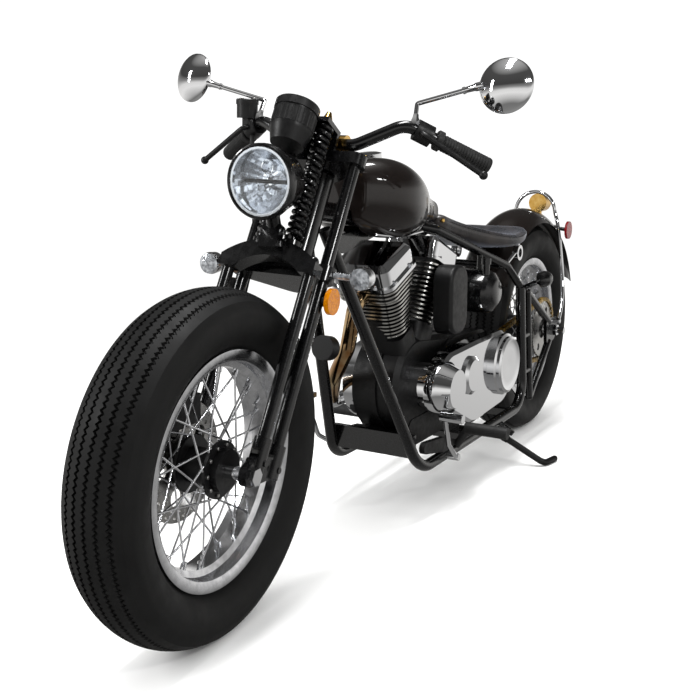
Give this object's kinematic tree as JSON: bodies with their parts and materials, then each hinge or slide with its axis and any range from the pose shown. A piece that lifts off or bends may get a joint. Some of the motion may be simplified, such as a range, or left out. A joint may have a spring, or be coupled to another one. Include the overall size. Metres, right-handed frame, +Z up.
{
  "type": "cruiser motorcycle",
  "caption": "Stripped V-twin cruiser motorcycle with a springer fork, wire wheels, teardrop tank and solo saddle, leaning on its side stand with steering, wheels and stand free to move.",
  "frame": {"origin": "on the floor under the middle of the parked bike's outline", "axes": "+X forward, +Y to the rider's left, +Z up; the bike leans six degrees to the left on its stand"},
  "size_m": [2.2803, 0.8315, 1.1361],
  "materials": {
    "tyre_rubber": "matt black tread rubber",
    "chrome": "bright chrome plate",
    "frame_black": "gloss black enamel",
    "satin_black": "satin black",
    "tank_paint": "deep brown-black gloss",
    "case_black": "wrinkle black over cast alloy",
    "fin_alloy": "black fins with machined edges",
    "steel": "ground steel",
    "chain_steel": "gold-tinted chain steel",
    "brass": "polished brass",
    "grip_rubber": "black rubber",
    "leather": "black saddle leather",
    "lens_glass": "clear lens",
    "amber": "amber reflector",
    "red": "red reflector"
  },
  "bodies": {
    "chassis": {"rear_axle": "chrome", "frame_spine": "frame_black", "frame_cradle_left": "frame_black", "frame_cradle_right": "frame_black", "frame_crossmembers": "frame_black", "rear_swingarm": "frame_black", "engine_crankcase": "case_black", "engine_cylinders": "fin_alloy", "engine_heads": "chrome", "engine_left_cover": "chrome", "engine_generator_cover": "chrome", "engine_right_cover": "chrome", "air_box": "frame_black", "exhausts": "chrome", "fuel_tank": "tank_paint", "fuel_cap": "satin_black", "seat": "leather", "seat_springs": "chrome", "rear_fender": "tank_paint", "fender_hoop": "chrome", "tail_lamp": "brass", "rear_signals": "frame_black", "rear_reflectors": "red", "oil_tank": "frame_black", "horn": "satin_black", "foot_pegs": "grip_rubber", "shift_lever": "chrome", "brake_pedal": "chrome", "drive_chain": "chain_steel", "rear_caliper": "satin_black"},
    "steering": {"front_axle": "chrome", "fork_rigid_legs": "frame_black", "fork_spring_legs": "frame_black", "fork_springs": "satin_black", "fork_rockers": "frame_black", "front_caliper": "satin_black", "headlamp_shell": "frame_black", "headlamp_lens": "lens_glass", "speedometer": "satin_black", "handlebar": "frame_black", "handlebar_risers": "brass", "grips": "grip_rubber", "hand_controls": "satin_black", "mirrors": "chrome", "front_signals": "chrome", "front_reflectors": "amber", "brake_hose": "grip_rubber"},
    "front_wheel": {"front_tyre": "tyre_rubber", "front_rim": "chrome", "front_hub": "satin_black", "front_disc": "steel"},
    "rear_wheel": {"rear_tyre": "tyre_rubber", "rear_rim": "chrome", "rear_hub": "satin_black", "rear_disc": "steel", "rear_sprocket": "steel"},
    "side_stand": {"side_stand": "satin_black"}
  },
  "joints": [
    {"name": "steering", "type": "hinge", "parent": "chassis", "child": "steering", "pos_m": [0.47745, -0.0371, 0.669], "axis": [-0.5, 0.0905, 0.8613], "range_deg": [-40, 30]},
    {"name": "front_wheel_spin", "type": "hinge", "parent": "steering", "child": "front_wheel", "pos_m": [0.81278, -0.06311, 0.32558], "axis": [-0.0732, 0.9865, -0.1462], "continuous": true},
    {"name": "rear_wheel_spin", "type": "hinge", "parent": "chassis", "child": "rear_wheel", "pos_m": [-0.78685, -0.07307, 0.32684], "axis": [0, 0.9945, -0.1045], "continuous": true},
    {"name": "side_stand_fold", "type": "hinge", "parent": "chassis", "child": "side_stand", "pos_m": [-0.34185, 0.04391, 0.08127], "axis": [-0.3006, 0.5831, 0.7548], "range_deg": [0, 85]}
  ]
}
